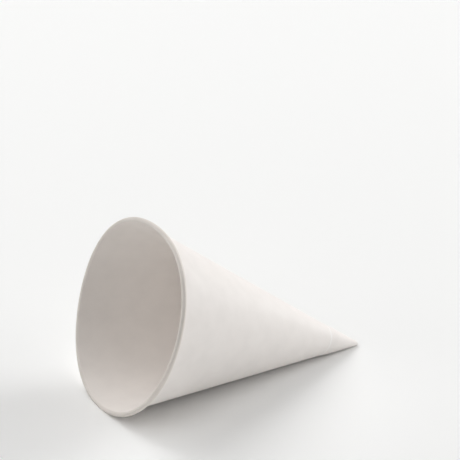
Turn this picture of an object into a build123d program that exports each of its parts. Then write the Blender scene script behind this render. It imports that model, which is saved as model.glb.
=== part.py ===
"""A cone paper cup that lies on its side, as it comes to rest.

One sheet of waxed paper is wound into a cone and glued along a lap. Its mouth is rolled outwards
into a thin tube. Past the lap the sheet goes on round the tip, so its outer edge runs down the
wall, winds round the cone and closes the tip.

Frame: +Z up, the cup lies on z = 0 and touches it with its rolled rim and its tip. The tip points
along +X, the mouth opens towards -X and a little upwards, and the lap is underneath. The origin is
below the middle of the cup's box. Millimetres.
"""

import os
from math import acos, asin, atan2, cos, degrees, hypot, pi, radians, sin, tan

from build123d import *

# Driving dimensions
rim_diameter = 70.0  # over the rolled rim
cone_height = 98.0  # from the mouth to the point where the lines of the wall would meet
paper = 0.3  # thickness of the sheet
roll_diameter = 1.8  # over the tube that the rim is rolled into
roll_gap = 0.2  # from the end of the sheet in the roll to the sheet below it
flat_spot = 0.35  # how far the soft roll is pressed flat where the cup lies on it
roll_chords = 10  # the roll's turn is drawn as this many chords, 0.03 mm inside the round at most
tip_cut = 1.25  # from the point of the cone to the blunt end of the outer turn
tip_recess = 0.4  # how far the inner turns stay back inside the end of the outer one
hollow_end = 1.0  # radius that the inside of the cup ends in
lap_width = 9.0  # of the glued lap, along the rim
lap_place = 192.6  # middle of the lap, in degrees round the cup from its top by the far side: the
# doubled side of the cup is the heavier one, and so placed it lies lowest
edge_offset = 17.4  # nearest that the sheet's straight outer edge comes to the point of the cone
fold_width = 1.5  # over which the sheet climbs onto its own inner edge, along the rim
fold_start = 9.0  # from the point of the cone to where the inner edge starts, along the wall
run_out = 0.02  # how far a slope that fades out ends below the surface that it fades into

# Lines of the wall, in a half plane from the cup's axis: x from the point of the cone towards the
# mouth, y outwards. The outer wall is a line through the point of the cone that passes the middle
# of the roll at the roll's inner radius.
roll_radius = roll_diameter / 2
roll_x = cone_height - roll_radius
roll_y = rim_diameter / 2 - roll_radius
half_angle = atan2(roll_y, roll_x) - asin((roll_radius - paper) / hypot(roll_x, roll_y))
rim_slant = (roll_x**2 + roll_y**2 - (roll_radius - paper) ** 2) ** 0.5
rim_radius = rim_slant * sin(half_angle)
roll_turn = 2 * pi - acos((roll_radius - 2 * paper - roll_gap) / roll_radius)


def on_wall(slant, lift):
    """A point at a distance along the outer wall from the point of the cone, lifted off it."""
    return (
        slant * cos(half_angle) - lift * sin(half_angle),
        slant * sin(half_angle) + lift * cos(half_angle),
    )


def beside_axis(x, lift):
    """A point at a distance x along the axis, on the outer wall's line or lifted off it."""
    return (x, x * tan(half_angle) + lift / cos(half_angle))


def on_roll(radius, chord):
    """A corner of the chords that draw the roll, from where the wall runs into it."""
    angle = half_angle - pi / 2 + roll_turn * chord / roll_chords
    return (roll_x + radius * cos(angle), roll_y + radius * sin(angle))


# The cup rests on the flat spot of the roll and on the blunt end of the outer turn
tip_radius = beside_axis(tip_cut, paper)[1]
reach_x = roll_x - tip_cut
reach_y = roll_y - tip_radius
rest_radius = roll_radius - flat_spot
rest_angle = atan2(reach_y, reach_x) + asin(rest_radius / hypot(reach_x, reach_y))
mouth_end = -roll_x * cos(rest_angle) - roll_y * sin(rest_angle) - roll_radius
tip_end = -tip_cut * cos(rest_angle) + tip_radius * sin(rest_angle)
underside = roll_x * sin(rest_angle) - roll_y * cos(rest_angle) - rest_radius

cone_point = Vector(-(mouth_end + tip_end) / 2, 0, -underside)
towards_mouth = Vector(-cos(rest_angle), 0, sin(rest_angle))
cup_axis = Axis(cone_point, towards_mouth)


def half_plane(place):
    """The half plane of a section, at a place round the cup in degrees from its top."""
    across = Vector(0, 1, 0).rotate(cup_axis, place)
    return Plane(origin=cone_point, x_dir=towards_mouth, z_dir=across)


# The lap lies between the sheet's two edges. The outer edge is straight on the flat sheet: wound up,
# it leaves the lap at the rim and turns round the cone as it comes down to the tip.
lap_angle = degrees(lap_width / rim_radius)
fold_angle = degrees(fold_width / rim_radius)
outer_edge = lap_place - lap_angle / 2
inner_edge = lap_place + lap_angle / 2
winding = 360 - lap_angle
flat_angle = acos(edge_offset / rim_slant)
flat_end = flat_angle - radians(winding) * sin(half_angle)


def over_edge(along, lift):
    """A point over the outer edge, at a distance along it from where it is nearest the tip."""
    wound = degrees((flat_angle - atan2(along, edge_offset)) / sin(half_angle))
    place = on_wall(hypot(edge_offset, along), lift)
    return half_plane(outer_edge - wound).from_local_coords(place)


def fold_section(place, low, high):
    """A section at a place round the cup, beside the inner edge, between two heights off the wall."""
    with BuildSketch(half_plane(place)) as section:
        with BuildLine():
            Polyline(
                on_wall(fold_start, low),
                on_wall(fold_start, high),
                on_wall(rim_slant, high),
                on_wall(rim_slant, low),
                close=True,
            )
        make_face()
    return section.sketch


# The second layer of the sheet in the middle of the lap, from the tip to the roll. It reaches half
# into the first one, with which it makes one piece.
with BuildSketch(half_plane(lap_place)) as second_layer:
    with BuildLine():
        Polyline(
            beside_axis(tip_cut, -paper / 2),
            beside_axis(tip_cut, paper),
            on_wall(rim_slant, paper),
            on_wall(rim_slant, -paper / 2),
            close=True,
        )
    make_face()

with BuildPart() as outer_turn:
    # Round the cup from the lap over the far side, the top and the near side to the inner edge, less
    # what lies past the sheet's outer edge, which is cut square to the wall
    revolve(second_layer.sketch, axis=cup_axis, revolution_arc=-winding - lap_angle / 2)
    edge_steps = 32
    edge_start = edge_offset * tan(flat_end) - paper
    edge_length = (rim_slant**2 - edge_offset**2) ** 0.5 + paper - edge_start
    edge_lines = []
    for lift in (-paper, 2 * paper):
        steps = [edge_start + edge_length * step / edge_steps for step in range(edge_steps + 1)]
        edge_lines.append(Spline(*[over_edge(along, lift) for along in steps], mode=Mode.PRIVATE))
    split(bisect_by=Face.make_surface_from_curves(*edge_lines), keep=Keep.TOP)

with BuildPart() as pressed_roll:
    # The paper that the floor presses into the roll, at the sheet's full thickness
    with BuildSketch(half_plane(0)):
        with BuildLine():
            Polyline(*[on_roll(roll_radius, corner) for corner in range(roll_chords + 1)], close=True)
        make_face()
    revolve(axis=cup_axis)
    split(bisect_by=Plane.XY, keep=Keep.TOP)
    split(bisect_by=Plane.XY.offset(paper), keep=Keep.BOTTOM)

with BuildPart() as cone_cup:
    # The sheet, once round, with its rolled rim and the closed tip
    inner_tip = tip_cut + tip_recess
    hollow_x = (hollow_end + paper) / sin(half_angle)
    corners = range(roll_chords + 1)
    with BuildSketch(half_plane(0)):
        with BuildLine():
            Polyline(
                (hollow_x - hollow_end, 0),
                (inner_tip, 0),
                beside_axis(inner_tip, 0),
                *[on_roll(roll_radius - paper, corner) for corner in corners],
                *[on_roll(roll_radius, corner) for corner in reversed(corners)],
                on_wall(hollow_x * cos(half_angle), -paper),
            )
            CenterArc((hollow_x, 0), hollow_end, 90 + degrees(half_angle), 90 - degrees(half_angle))
        make_face()
    revolve(axis=cup_axis)

    # The rest of the lap, and the outer turn
    revolve(second_layer.sketch, axis=cup_axis, revolution_arc=lap_angle / 2)
    add(outer_turn.part)

    # Beside the lap the sheet slopes up onto its own inner edge, at its full thickness
    slope_end = inner_edge + fold_angle
    loft(
        [
            fold_section(inner_edge, -paper / 2, paper),
            fold_section(slope_end, -paper / 2, -run_out),
        ],
        ruled=True,
    )
    loft(
        [
            fold_section(inner_edge, -2 * paper, 0),
            fold_section(slope_end, -2 * paper, -paper - run_out),
        ],
        ruled=True,
        mode=Mode.SUBTRACT,
    )

    # On the floor the roll is flat
    split(bisect_by=Plane.XY, keep=Keep.TOP)
    add(pressed_roll.part)

cone_cup.part.label = "cone_cup"
os.makedirs("parts", exist_ok=True)
export_step(cone_cup.part, "parts/cone_cup.step")
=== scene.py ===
"""Looks of a cone paper cup that lies on its side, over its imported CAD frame, with a plain stage.

The cup is one sheet of waxed white paper. A flat grid is wound once round the cone and on: over its
own inner edge, through the glued lap, and down to the tip along its straight outer edge. At the
mouth the same grid curls into the rolled rim. The wound grid then gets the paper's thickness.
"""

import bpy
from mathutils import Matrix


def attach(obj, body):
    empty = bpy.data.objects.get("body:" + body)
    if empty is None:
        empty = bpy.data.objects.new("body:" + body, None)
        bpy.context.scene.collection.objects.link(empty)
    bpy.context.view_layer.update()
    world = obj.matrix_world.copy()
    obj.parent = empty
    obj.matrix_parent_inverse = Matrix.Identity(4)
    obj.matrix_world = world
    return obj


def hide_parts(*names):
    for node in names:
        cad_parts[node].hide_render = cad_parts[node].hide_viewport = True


bl_info = {
    "name": "Cone Paper Cup",
    "version": (1, 0, 0),
    "blender": (4, 5, 0),
    "location": "3D View > Sidebar > Cone Cup",
    "description": "A wound paper cone cup with a rolled rim, and a pale stage to show it on",
    "category": "Add Mesh",
}

from math import acos, asin, atan2, cos, hypot, pi, radians, sin, tan

import bmesh
import bpy
from bpy.props import FloatProperty, FloatVectorProperty, PointerProperty
from mathutils import Vector

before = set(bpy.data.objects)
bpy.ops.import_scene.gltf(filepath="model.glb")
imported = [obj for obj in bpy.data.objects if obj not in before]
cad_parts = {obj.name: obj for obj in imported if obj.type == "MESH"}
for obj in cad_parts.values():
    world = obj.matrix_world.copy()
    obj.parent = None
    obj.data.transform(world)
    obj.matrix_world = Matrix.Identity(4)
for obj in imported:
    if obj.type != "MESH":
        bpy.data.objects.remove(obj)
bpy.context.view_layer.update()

CAD_NODE = "cone_cup"

# The grid of the flat sheet: columns round the cup, and rows from the tip through the roll
FIRST_TURN_COLUMNS = 240
FOLD_COLUMNS = 10
LAP_COLUMNS = 10
SECOND_TURN_COLUMNS = 170
WALL_ROWS = 44
ROLL_ROWS = 26

TIP_STEPS = 32  # of the closed tip, round the cup's axis
HOLLOW_STEPS = 10  # across the rounded end of the inside
MERGE_DISTANCE = 1e-6  # of doubled points, in metres
SHARP_ANGLE = radians(35)  # an edge that turns by more than this isn't shaded smooth


def linear(code):
    """The linear colour of an sRGB hex code."""
    parts = [int(code[start : start + 2], 16) / 255 for start in (1, 3, 5)]
    return [part / 12.92 if part <= 0.04045 else ((part + 0.055) / 1.055) ** 2.4 for part in parts]


def eased(share):
    """A share of the way, held between 0 and 1, that starts and ends gently."""
    share = min(max(share, 0), 1)
    return share * share * (3 - 2 * share)


class ConeCupSheet(bpy.types.PropertyGroup):
    """Sizes of the sheet and of the cup that is wound from it.

    They are the CAD part's own, down to the end of the hollow. The rest say how the sheet's edges are
    pressed thin, and how far the soft cup is from round."""

    rim_diameter: FloatProperty(
        name="Rim diameter", description="Over the rolled rim", default=0.070, unit="LENGTH"
    )
    cone_height: FloatProperty(
        name="Cone height",
        description="From the mouth to the point where the lines of the wall would meet",
        default=0.098,
        unit="LENGTH",
    )
    paper: FloatProperty(
        name="Paper", description="Thickness of the sheet", default=0.0003, unit="LENGTH"
    )
    roll_diameter: FloatProperty(
        name="Roll diameter",
        description="Over the tube that the rim is rolled into",
        default=0.0018,
        unit="LENGTH",
    )
    roll_gap: FloatProperty(
        name="Roll gap",
        description="From the end of the sheet in the roll to the sheet below it",
        default=0.0002,
        unit="LENGTH",
    )
    flat_spot: FloatProperty(
        name="Flat spot",
        description="How far the soft roll is pressed flat where the cup lies on it",
        default=0.00035,
        unit="LENGTH",
    )
    tip_cut: FloatProperty(
        name="Tip cut",
        description="From the point of the cone to the blunt end of the outer turn",
        default=0.00125,
        unit="LENGTH",
    )
    tip_recess: FloatProperty(
        name="Tip recess",
        description="How far the inner turn stays back inside the end of the outer one",
        default=0.0004,
        unit="LENGTH",
    )
    lap_width: FloatProperty(
        name="Lap width",
        description="Of the glued lap, along the rim",
        default=0.009,
        unit="LENGTH",
    )
    lap_place: FloatProperty(
        name="Lap place",
        description="Middle of the lap, round the cup from its top by the far side",
        default=radians(192.6),
        unit="ROTATION",
    )
    edge_offset: FloatProperty(
        name="Edge offset",
        description="Nearest that the sheet's straight outer edge comes to the point of the cone",
        default=0.0174,
        unit="LENGTH",
    )
    fold_width: FloatProperty(
        name="Fold width",
        description="Over which the sheet climbs onto its own inner edge, along the rim",
        default=0.0015,
        unit="LENGTH",
    )
    hollow_end: FloatProperty(
        name="Hollow end",
        description="Radius that the inside ends in",
        default=0.001,
        unit="LENGTH",
    )
    pressed_edge: FloatProperty(
        name="Pressed edge",
        description="What the glueing press leaves of the paper's thickness at the sheet's edges",
        default=0.1,
        subtype="FACTOR",
    )
    press_width: FloatProperty(
        name="Press width",
        description="From the pressed outer edge to the full thickness",
        default=0.005,
        unit="LENGTH",
    )
    two_sided: FloatProperty(
        name="Two-sided",
        description="How far the soft cup bulges at its mouth on two sides, as it sags",
        default=0.00026,
        unit="LENGTH",
    )
    two_sided_place: FloatProperty(
        name="Two-sided place",
        description="Place of such a bulge, round the cup from its top by the far side",
        default=radians(101.6),
        unit="ROTATION",
    )
    three_sided: FloatProperty(
        name="Three-sided",
        description="How far it bulges there on three sides, as it came out of its box",
        default=0.00054,
        unit="LENGTH",
    )
    three_sided_place: FloatProperty(
        name="Three-sided place",
        description="Place of such a bulge, round the cup from its top by the far side",
        default=radians(179.3),
        unit="ROTATION",
    )
    four_sided: FloatProperty(
        name="Four-sided",
        description="How far it bulges there on four sides",
        default=0.00038,
        unit="LENGTH",
    )
    four_sided_place: FloatProperty(
        name="Four-sided place",
        description="Place of such a bulge, round the cup from its top by the far side",
        default=radians(142.4),
        unit="ROTATION",
    )


class ConeCupPaper(bpy.types.PropertyGroup):
    """Colours and grain of the waxed paper, with painted shade on the rolled rim and a painted
    highlight along the outer edge.
    """

    outer_colour: FloatVectorProperty(
        name="Outer face",
        description="Bleached pulp under a thin coat of wax",
        default=linear("#F4EFEB"),
        subtype="COLOR",
        min=0,
        max=1,
    )
    inner_colour: FloatVectorProperty(
        name="Inner face",
        description="The side with more wax, which is a little warmer",
        default=linear("#F4EEE9"),
        subtype="COLOR",
        min=0,
        max=1,
    )
    # Partly painted shade: the rim is darker than the sheet, partly for the wax that gathers in the
    # curl and partly to stand in for the shade on the roll's limb and underside
    roll_wax_and_shade_colour: FloatVectorProperty(
        name="Rolled rim",
        description="The same side in the tight curl, where the wax gathers",
        default=linear("#E9E2DB"),
        subtype="COLOR",
        min=0,
        max=1,
    )
    # Painted highlight: a lighter colour along the sheet's outer edge, which lifts the shade of the
    # edge's step and draws it as a lit line
    edge_highlight_colour: FloatVectorProperty(
        name="Outer edge",
        description="Bare pulp, where the glueing press scuffs the wax off",
        default=linear("#FCF9F6"),
        subtype="COLOR",
        min=0,
        max=1,
    )
    cloud_tint: FloatVectorProperty(
        name="Cloud tint",
        description="What the clouds in the pulp leave of the sheet's colour",
        default=linear("#FBFBFB"),
        subtype="COLOR",
        min=0,
        max=1,
    )
    # Width of the painted highlight along the outer edge
    edge_highlight_width: FloatProperty(
        name="Bare width",
        description="Over which the outer edge's colour fades into the sheet's",
        default=0.0012,
        unit="LENGTH",
    )
    curl_width: FloatProperty(
        name="Curl width",
        description="Over which the sheet's colour turns into the rolled rim's",
        default=0.0006,
        unit="LENGTH",
    )
    cloud_size: FloatProperty(
        name="Cloud size",
        description="Of the clouds that the pulp settles in",
        default=0.007,
        unit="LENGTH",
    )
    floc_size: FloatProperty(
        name="Floc size",
        description="Of the tufts of fibres that roughen the face",
        default=0.0004,
        unit="LENGTH",
    )
    floc_height: FloatProperty(
        name="Floc height",
        description="How far those tufts stand up under the wax",
        default=0.00003,
        unit="LENGTH",
    )


class ConeCupStage(bpy.types.PropertyGroup):
    """The floor, the lights and the camera."""

    floor_colour: FloatVectorProperty(
        name="Floor colour",
        description="Of the plain floor",
        default=linear("#FBFBFA"),
        subtype="COLOR",
        min=0,
        max=1,
    )
    floor_size: FloatProperty(
        name="Floor size", description="Side of the square floor", default=8.0, unit="LENGTH"
    )
    softbox_size: FloatProperty(
        name="Softbox size",
        description="Side of each square softbox",
        default=1.2,
        unit="LENGTH",
    )
    softbox_distance: FloatProperty(
        name="Softbox distance",
        description="From the cup to each softbox",
        default=1.8,
        unit="LENGTH",
    )
    left_power: FloatProperty(
        name="Left softbox",
        description="It shines down into the mouth",
        default=8.9,
        unit="POWER",
    )
    right_power: FloatProperty(
        name="Right softbox",
        description="It shines low along the cup",
        default=23.0,
        unit="POWER",
    )
    front_power: FloatProperty(
        name="Front softbox",
        description="It fills the cup's near side",
        default=6.6,
        unit="POWER",
    )
    back_power: FloatProperty(
        name="Back softbox",
        description="It shines down on the cup's far side",
        default=13.0,
        unit="POWER",
    )
    high_power: FloatProperty(
        name="High softbox",
        description="It shines from above and behind on the rim and the cup's inside",
        default=8.4,
        unit="POWER",
    )
    camera_azimuth: FloatProperty(
        name="Camera azimuth",
        description="Turn of the view round the cup; at 0 the camera looks along +Y",
        default=radians(-27.75),
        unit="ROTATION",
    )
    camera_elevation: FloatProperty(
        name="Camera elevation",
        description="Above the horizon",
        default=radians(25.45),
        unit="ROTATION",
    )
    camera_distance: FloatProperty(
        name="Camera distance",
        description="From the camera to its aim",
        default=1.391,
        unit="LENGTH",
    )
    camera_aim: FloatVectorProperty(
        name="Camera aim",
        description="The point in the middle of the picture",
        default=(0.0027, 0.0050, 0.0543),
        subtype="XYZ",
        unit="LENGTH",
    )
    lens: FloatProperty(
        name="Lens", description="Focal length on a 36 mm sensor, in millimetres", default=313.0
    )


class Winding:
    """Where a point of the flat sheet goes on the cup.

    A point has a turn, the angle round the cup from the sheet's inner edge, and a slant, the distance
    along the outer wall from the cone's point. Lifts stand off the outer wall, and what is kept is a
    share of the sheet's full thickness.
    """

    def __init__(self, size):
        self.size = size
        self.roll_radius = size.roll_diameter / 2
        self.roll_x = size.cone_height - self.roll_radius
        self.roll_y = size.rim_diameter / 2 - self.roll_radius
        inside = self.roll_radius - size.paper
        to_roll = hypot(self.roll_x, self.roll_y)
        self.half_angle = atan2(self.roll_y, self.roll_x) - asin(inside / to_roll)
        self.rim_slant = (self.roll_x**2 + self.roll_y**2 - inside**2) ** 0.5
        self.roll_turn = 2 * pi - acos((inside - size.paper - size.roll_gap) / self.roll_radius)

        rim_radius = self.rim_slant * sin(self.half_angle)
        self.lap_angle = size.lap_width / rim_radius
        self.fold_angle = size.fold_width / rim_radius
        self.inner_edge = size.lap_place + self.lap_angle / 2
        self.flat_angle = acos(size.edge_offset / self.rim_slant)

        # The cup lies on the flat spot of its roll and on the blunt end of the tip
        tip_radius = size.tip_cut * tan(self.half_angle) + size.paper / cos(self.half_angle)
        reach_x = self.roll_x - size.tip_cut
        reach_y = self.roll_y - tip_radius
        rest_radius = self.roll_radius - size.flat_spot
        rest = atan2(reach_y, reach_x) + asin(rest_radius / hypot(reach_x, reach_y))
        mouth_end = -self.roll_x * cos(rest) - self.roll_y * sin(rest) - self.roll_radius
        tip_end = -size.tip_cut * cos(rest) + tip_radius * sin(rest)
        underside = self.roll_x * sin(rest) - self.roll_y * cos(rest) - rest_radius
        self.cone_point = Vector((-(mouth_end + tip_end) / 2, 0, -underside))
        self.towards_mouth = Vector((-cos(rest), 0, sin(rest)))
        self.top_side = Vector((sin(rest), 0, cos(rest)))
        self.far_side = Vector((0, 1, 0))

    def place(self, turn, x, y):
        """A point at a turn of the sheet, x along the cup's axis from the cone's point, y off it.

        Soft paper is never quite round: the cup bulges a little on two, three and four sides."""
        size = self.size
        angle = self.inner_edge - turn
        bulge = size.two_sided * cos(2 * (angle - size.two_sided_place))
        bulge += size.three_sided * cos(3 * (angle - size.three_sided_place))
        bulge += size.four_sided * cos(4 * (angle - size.four_sided_place))
        outwards = self.top_side * cos(angle) + self.far_side * sin(angle)
        return self.cone_point + self.towards_mouth * x + outwards * y * (1 + bulge / self.roll_y)

    def pressed(self, share):
        """What is kept of the paper's thickness, at a share of the way from a pressed edge."""
        edge = self.size.pressed_edge
        return edge + (1 - edge) * eased(share)

    def layer(self, turn, slant):
        """The lift of the sheet's outer face, and what is kept of the sheet's thickness.

        Its inner edge is pressed flush with the inside of the cup. One turn on it climbs over that
        edge, and past the lap its outer edge is pressed onto the wall."""
        paper = self.size.paper
        past_turn = turn - 2 * pi
        if turn < self.fold_angle:
            kept = self.pressed(turn / self.fold_angle)
            return paper * (kept - 1), kept
        if past_turn < 0:
            edge = paper * self.size.pressed_edge
            return edge * eased(past_turn / self.fold_angle + 1), 1
        if past_turn < self.lap_angle:
            return paper * self.pressed(past_turn / self.fold_angle), 1
        kept = self.pressed((self.top_slant(turn) - slant) / self.size.press_width)
        return paper * kept, kept

    def top_slant(self, turn):
        """Where the sheet ends towards the mouth: at the roll, or past the lap at its outer edge."""
        past_lap = max(turn - 2 * pi - self.lap_angle, 0)
        return self.size.edge_offset / cos(self.flat_angle - past_lap * sin(self.half_angle))

    def tip_slant(self, turn):
        """Where the sheet ends at the tip: the first turn stays back inside the second one."""
        climbed = min(max((turn - 2 * pi) / self.fold_angle + 1, 0), 1)
        x = self.size.tip_cut + self.size.tip_recess * (1 - climbed)
        return (x + self.size.paper * climbed * sin(self.half_angle)) / cos(self.half_angle)

    def on_wall(self, turn, share):
        """A point's slant, what is kept there, and its place on the sheet's outer face.

        It lies at a share of the way from the sheet's tip end to its other end. The shares are drawn
        closer together towards that end, where the sheet is pressed."""
        tip = self.tip_slant(turn)
        slant = tip + (self.top_slant(turn) - tip) * (1 - (1 - share) ** 2)
        lift, kept = self.layer(turn, slant)
        x = slant * cos(self.half_angle) - lift * sin(self.half_angle)
        y = slant * sin(self.half_angle) + lift * cos(self.half_angle)
        return slant, kept, self.place(turn, x, y)

    def in_roll(self, turn, share):
        """The same for a point in the roll, at a share of the way through it.

        The sheet's outer face is the inside of the curl. Where the cup lies on its roll, the soft
        roll is pressed flat."""
        lift, kept = self.layer(turn, 0)
        radius = self.roll_radius - self.size.paper - lift
        curl = self.half_angle - pi / 2 + self.roll_turn * share
        slant = self.rim_slant + self.roll_turn * share * self.roll_radius
        point = self.place(turn, self.roll_x + radius * cos(curl), self.roll_y + radius * sin(curl))
        point.z = max(point.z, self.size.paper)
        return slant, kept, point


def add_node(tree, kind, inputs=(), **settings):
    """Adds a node with its settings, and gives its inputs their values or links."""
    node = tree.nodes.new(kind)
    for name, value in settings.items():
        setattr(node, name, value)
    for key, value in dict(inputs).items():
        if isinstance(value, bpy.types.NodeSocket):
            tree.links.new(value, node.inputs[key])
        else:
            node.inputs[key].default_value = value
    return node


def waxed_paper(paper, winding):
    """Bleached cup stock, calendered and dry waxed: matt, nearly white, with soft clouds. The rolled
    rim is darker, partly for its wax and partly as painted shade, and the outer edge is lighter as a
    painted highlight.

    Its patterns follow the flat sheet: X and Y are a point's place on it, with the cone's point at the
    origin, and Z is its depth under the outer face."""
    material = bpy.data.materials.new("waxed_cup_paper")
    material.use_nodes = True
    tree = material.node_tree
    tree.nodes.clear()
    flat = add_node(tree, "ShaderNodeAttribute", attribute_name="flat_sheet").outputs["Vector"]

    # The sheet's inner face, with more wax, comes out at the rim as the outside of the roll
    depth = add_node(tree, "ShaderNodeSeparateXYZ", {"Vector": flat}).outputs["Z"]
    inner_face = add_node(
        tree,
        "ShaderNodeMapRange",
        {"Value": depth, "From Max": winding.size.paper},
    )
    slant = add_node(tree, "ShaderNodeVectorMath", {0: flat}, operation="LENGTH")
    in_roll = add_node(
        tree,
        "ShaderNodeMapRange",
        {
            "Value": slant.outputs["Value"],
            "From Min": winding.rim_slant,
            "From Max": winding.rim_slant + paper.curl_width,
        },
        interpolation_type="SMOOTHSTEP",
    )
    faces = add_node(
        tree,
        "ShaderNodeMix",
        {
            "Factor": inner_face.outputs["Result"],
            "A": (*paper.outer_colour, 1),
            "B": (*paper.inner_colour, 1),
        },
        data_type="RGBA",
    )
    # The rolled rim takes its darker colour here: partly the wax in the curl, partly painted shade of
    # the roll
    sheet = add_node(
        tree,
        "ShaderNodeMix",
        {
            "Factor": in_roll.outputs["Result"],
            "A": faces.outputs["Result"],
            "B": (*paper.roll_wax_and_shade_colour, 1),
        },
        data_type="RGBA",
    )

    # The outer edge is a straight line on the flat sheet, square to the way to its nearest point
    nearest = (2 * pi + winding.lap_angle) * sin(winding.half_angle) + winding.flat_angle
    towards_edge = add_node(
        tree,
        "ShaderNodeVectorMath",
        {0: flat, 1: (cos(nearest), sin(nearest), 0)},
        operation="DOT_PRODUCT",
    )
    # Painted highlight: the paper is made lighter towards the outer edge, over the step's shade
    edge_highlight = add_node(
        tree,
        "ShaderNodeMapRange",
        {
            "Value": towards_edge.outputs["Value"],
            "From Min": winding.size.edge_offset - paper.edge_highlight_width,
            "From Max": winding.size.edge_offset,
        },
        interpolation_type="SMOOTHSTEP",
    )
    with_edge_highlight = add_node(
        tree,
        "ShaderNodeMix",
        {
            "Factor": edge_highlight.outputs["Result"],
            "A": sheet.outputs["Result"],
            "B": (*paper.edge_highlight_colour, 1),
        },
        data_type="RGBA",
    )

    # Formation: the pulp settles in clouds about 7 mm across, which the wax makes a little darker
    clouds = add_node(
        tree,
        "ShaderNodeTexNoise",
        {"Vector": flat, "Scale": 1 / paper.cloud_size, "Detail": 4.0, "Roughness": 0.55},
    )
    cloud_share = add_node(
        tree,
        "ShaderNodeMapRange",
        {"Value": clouds.outputs["Fac"], "From Min": 0.3, "From Max": 0.75},
        interpolation_type="SMOOTHSTEP",
    )
    base = add_node(
        tree,
        "ShaderNodeMix",
        {
            "Factor": cloud_share.outputs["Result"],
            "A": with_edge_highlight.outputs["Result"],
            "B": (*paper.cloud_tint, 1),
        },
        data_type="RGBA",
        blend_type="MULTIPLY",
    )

    # Fibres are 0.03 mm wide: drawn as 0.4 mm flocs, the finest that still show in the picture
    fibres = add_node(
        tree,
        "ShaderNodeTexNoise",
        {"Vector": flat, "Scale": 1 / paper.floc_size, "Detail": 2.0, "Roughness": 0.6},
    )
    roughness = add_node(
        tree,
        "ShaderNodeMapRange",
        {
            "Value": clouds.outputs["Fac"],
            "From Min": 0.3,
            "From Max": 0.7,
            "To Min": 0.50,
            "To Max": 0.62,
        },
    )
    bump = add_node(
        tree,
        "ShaderNodeBump",
        {"Height": fibres.outputs["Fac"], "Strength": 0.25, "Distance": paper.floc_height},
    )

    # Paraffin wax has an IOR near 1.45. Dry waxing leaves little of it on the face, which shines less
    shader = add_node(
        tree,
        "ShaderNodeBsdfPrincipled",
        {
            "Base Color": base.outputs["Result"],
            "Roughness": roughness.outputs["Result"],
            "Normal": bump.outputs["Normal"],
            "IOR": 1.45,
            "Specular IOR Level": 0.35,
        },
    )
    add_node(tree, "ShaderNodeOutputMaterial", {"Surface": shader.outputs["BSDF"]})
    return material


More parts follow.
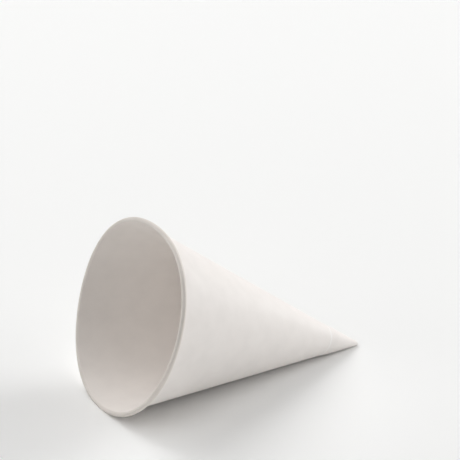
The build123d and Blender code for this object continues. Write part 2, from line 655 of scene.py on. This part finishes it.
class CONECUP_OT_wind_sheet(bpy.types.Operator):
    """Winds the sheet into the cup, with its lap, tip and rolled rim"""

    bl_idname = "cone_cup.wind_sheet"
    bl_label = "Wind the Sheet"

    def execute(self, context):
        winding = Winding(context.scene.cone_cup_sheet)
        sheet = bmesh.new()
        self.wind_grid(sheet, winding)
        self.close_tip(sheet, winding)
        for face in sheet.faces:
            face.smooth = True
        for edge in sheet.edges:
            edge.smooth = len(edge.link_faces) == 2 and edge.calc_face_angle(0) < SHARP_ANGLE
        mesh = bpy.data.meshes.new("wound_sheet")
        sheet.to_mesh(mesh)
        sheet.free()
        mesh.materials.append(waxed_paper(context.scene.cone_cup_paper, winding))
        piece = bpy.data.objects.new("wound_sheet", mesh)
        context.scene.collection.objects.link(piece)
        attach(piece, "root")
        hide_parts(CAD_NODE)
        return {"FINISHED"}

    def wind_grid(self, sheet, winding):
        """The sheet's outer face, wound from its inner edge to its outer one, then its thickness."""
        size = winding.size
        zones = (
            (FIRST_TURN_COLUMNS, 2 * pi - winding.fold_angle),
            (FOLD_COLUMNS, winding.fold_angle),
            (LAP_COLUMNS, winding.lap_angle),
            (SECOND_TURN_COLUMNS, 2 * pi - winding.lap_angle - winding.fold_angle),
        )
        turns = [0.0]
        for columns, angle in zones:
            start = turns[-1]
            turns += [start + angle * (step + 1) / columns for step in range(columns)]
        lap_end = FIRST_TURN_COLUMNS + FOLD_COLUMNS + LAP_COLUMNS
        columns = len(turns) - 1
        rows = WALL_ROWS + ROLL_ROWS

        flat_sheet = sheet.verts.layers.float_vector.new("flat_sheet")
        outer_face = sheet.verts.layers.float_vector.new("outer_face")
        thickness = sheet.verts.layers.float.new("thickness")
        # The grid is one unit wide, and a point's place in it gives its column and row
        bmesh.ops.create_grid(sheet, x_segments=columns, y_segments=rows, size=0.5)
        past_edge = []
        for vert in sheet.verts:
            column = round((vert.co.x + 0.5) * columns)
            row = round((vert.co.y + 0.5) * rows)
            turn = turns[column]
            if row <= WALL_ROWS:
                slant, kept, vert.co = winding.on_wall(turn, row / WALL_ROWS)
            else:
                slant, kept, vert.co = winding.in_roll(turn, (row - WALL_ROWS) / ROLL_ROWS)
                if column > lap_end:
                    past_edge.append(vert)
            flat_turn = turn * sin(winding.half_angle)
            vert[flat_sheet] = (slant * cos(flat_turn), slant * sin(flat_turn), 0)
            vert[outer_face] = vert.co
            vert[thickness] = kept
        bmesh.ops.delete(sheet, geom=past_edge, context="VERTS")

        # The faces are turned to point out of the cup. The thickness goes inwards from them, and is
        # then drawn back to what is kept. A new point has the values of the one that it comes from
        bmesh.ops.reverse_faces(sheet, faces=sheet.faces[:])
        bmesh.ops.solidify(sheet, geom=sheet.faces[:], thickness=size.paper)
        for vert in sheet.verts:
            if vert.co != vert[outer_face]:
                vert[flat_sheet].z = size.paper
            vert.co = vert[outer_face].lerp(vert.co, vert[thickness])
            vert.co.z = max(vert.co.z, 0)
        sheet.verts.layers.float_vector.remove(outer_face)
        sheet.verts.layers.float.remove(thickness)

    def close_tip(self, sheet, winding):
        """The innermost turns, wound tight: they fill the tip up to the rounded end of the inside."""
        size = winding.size
        half_angle = winding.half_angle
        inner_tip = size.tip_cut + size.tip_recess
        inside = size.paper / cos(half_angle)
        hollow_x = (size.hollow_end + size.paper) / sin(half_angle)
        outline = [(inner_tip, 0), (inner_tip, inner_tip * tan(half_angle) - inside)]
        for step in range(HOLLOW_STEPS + 1):
            angle = pi / 2 + half_angle + (pi / 2 - half_angle) * step / HOLLOW_STEPS
            x = hollow_x + size.hollow_end * cos(angle)
            outline.append((x, max(size.hollow_end * sin(angle), 0)))
        verts = [sheet.verts.new(winding.place(0, x, y)) for x, y in outline]
        edges = [sheet.edges.new(pair) for pair in zip(verts, verts[1:])]
        wound = set(sheet.faces)
        bmesh.ops.spin(
            sheet,
            geom=verts + edges,
            cent=winding.cone_point,
            axis=winding.towards_mouth,
            angle=2 * pi,
            steps=TIP_STEPS,
            use_merge=True,
        )
        core = [face for face in sheet.faces if face not in wound]
        core_verts = list({vert for face in core for vert in face.verts})
        bmesh.ops.remove_doubles(sheet, verts=core_verts, dist=MERGE_DISTANCE)
        core = [face for face in sheet.faces if face not in wound]
        bmesh.ops.recalc_face_normals(sheet, faces=core)


class CONECUP_OT_set_stage(bpy.types.Operator):
    """Sets the floor, the lights and the camera"""

    bl_idname = "cone_cup.set_stage"
    bl_label = "Set the Stage"

    def execute(self, context):
        stage = context.scene.cone_cup_stage
        self.lay_floor(context, stage)
        self.light_scene(context, stage)
        self.place_camera(context, stage)
        return {"FINISHED"}

    def lay_floor(self, context, stage):
        """A plain pale floor of matt painted board, which mirrors nothing."""
        plate = bmesh.new()
        bmesh.ops.create_grid(plate, x_segments=1, y_segments=1, size=stage.floor_size / 2)
        mesh = bpy.data.meshes.new("floor")
        plate.to_mesh(mesh)
        plate.free()
        material = bpy.data.materials.new("matt_floor")
        material.use_nodes = True
        shader = material.node_tree.nodes["Principled BSDF"]
        shader.inputs["Base Color"].default_value = (*stage.floor_colour, 1)
        shader.inputs["Roughness"].default_value = 0.9
        shader.inputs["Specular IOR Level"].default_value = 0.0
        mesh.materials.append(material)
        floor = bpy.data.objects.new("floor", mesh)
        context.scene.collection.objects.link(floor)

    def light_scene(self, context, stage):
        """Five large softboxes in a dark room, all round the cup."""
        context.scene.view_settings.view_transform = "Standard"
        world = bpy.data.worlds.new("dark_room")
        world.use_nodes = True
        world.node_tree.nodes["Background"].inputs["Strength"].default_value = 0
        context.scene.world = world

        # Each softbox's place is its turn from +X towards +Y, and its height above the floor
        softboxes = (
            ("left_softbox", radians(-165), radians(45), stage.left_power),
            ("right_softbox", radians(0), radians(20), stage.right_power),
            ("front_softbox", radians(-45), radians(20), stage.front_power),
            ("back_softbox", radians(90), radians(50), stage.back_power),
            ("high_softbox", radians(135), radians(60), stage.high_power),
        )
        for name, turn, height, power in softboxes:
            lamp = bpy.data.lights.new(name, "AREA")
            lamp.size = stage.softbox_size
            lamp.energy = power
            softbox = bpy.data.objects.new(name, lamp)
            away = Vector((cos(turn) * cos(height), sin(turn) * cos(height), sin(height)))
            softbox.location = away * stage.softbox_distance
            softbox.rotation_euler = away.to_track_quat("Z", "Y").to_euler()
            context.scene.collection.objects.link(softbox)

    def place_camera(self, context, stage):
        """The photograph's view: a long lens, from the front left and above."""
        view = Vector((
            -sin(stage.camera_azimuth) * cos(stage.camera_elevation),
            cos(stage.camera_azimuth) * cos(stage.camera_elevation),
            -sin(stage.camera_elevation),
        ))
        lens = bpy.data.cameras.new("camera")
        lens.sensor_width = 36
        lens.lens = stage.lens
        camera = bpy.data.objects.new("camera", lens)
        camera.location = Vector(stage.camera_aim) - view * stage.camera_distance
        camera.rotation_euler = view.to_track_quat("-Z", "Y").to_euler()
        context.scene.collection.objects.link(camera)
        context.scene.camera = camera


class CONECUP_PT_panel(bpy.types.Panel):
    """The cup's sizes, colours and steps"""

    bl_label = "Cone Cup"
    bl_idname = "CONECUP_PT_panel"
    bl_space_type = "VIEW_3D"
    bl_region_type = "UI"
    bl_category = "Cone Cup"

    def draw(self, context):
        scene = context.scene
        for group in (scene.cone_cup_sheet, scene.cone_cup_paper, scene.cone_cup_stage):
            box = self.layout.box()
            for name in group.__annotations__:
                box.prop(group, name)
        self.layout.operator(CONECUP_OT_wind_sheet.bl_idname)
        self.layout.operator(CONECUP_OT_set_stage.bl_idname)


CLASSES = (
    ConeCupSheet,
    ConeCupPaper,
    ConeCupStage,
    CONECUP_OT_wind_sheet,
    CONECUP_OT_set_stage,
    CONECUP_PT_panel,
)


def register():
    for each in CLASSES:
        bpy.utils.register_class(each)
    bpy.types.Scene.cone_cup_sheet = PointerProperty(type=ConeCupSheet)
    bpy.types.Scene.cone_cup_paper = PointerProperty(type=ConeCupPaper)
    bpy.types.Scene.cone_cup_stage = PointerProperty(type=ConeCupStage)


def unregister():
    del bpy.types.Scene.cone_cup_stage
    del bpy.types.Scene.cone_cup_paper
    del bpy.types.Scene.cone_cup_sheet
    for each in reversed(CLASSES):
        bpy.utils.unregister_class(each)


def main():
    register()
    bpy.ops.cone_cup.wind_sheet()
    bpy.ops.cone_cup.set_stage()


if __name__ == "__main__":
    main()
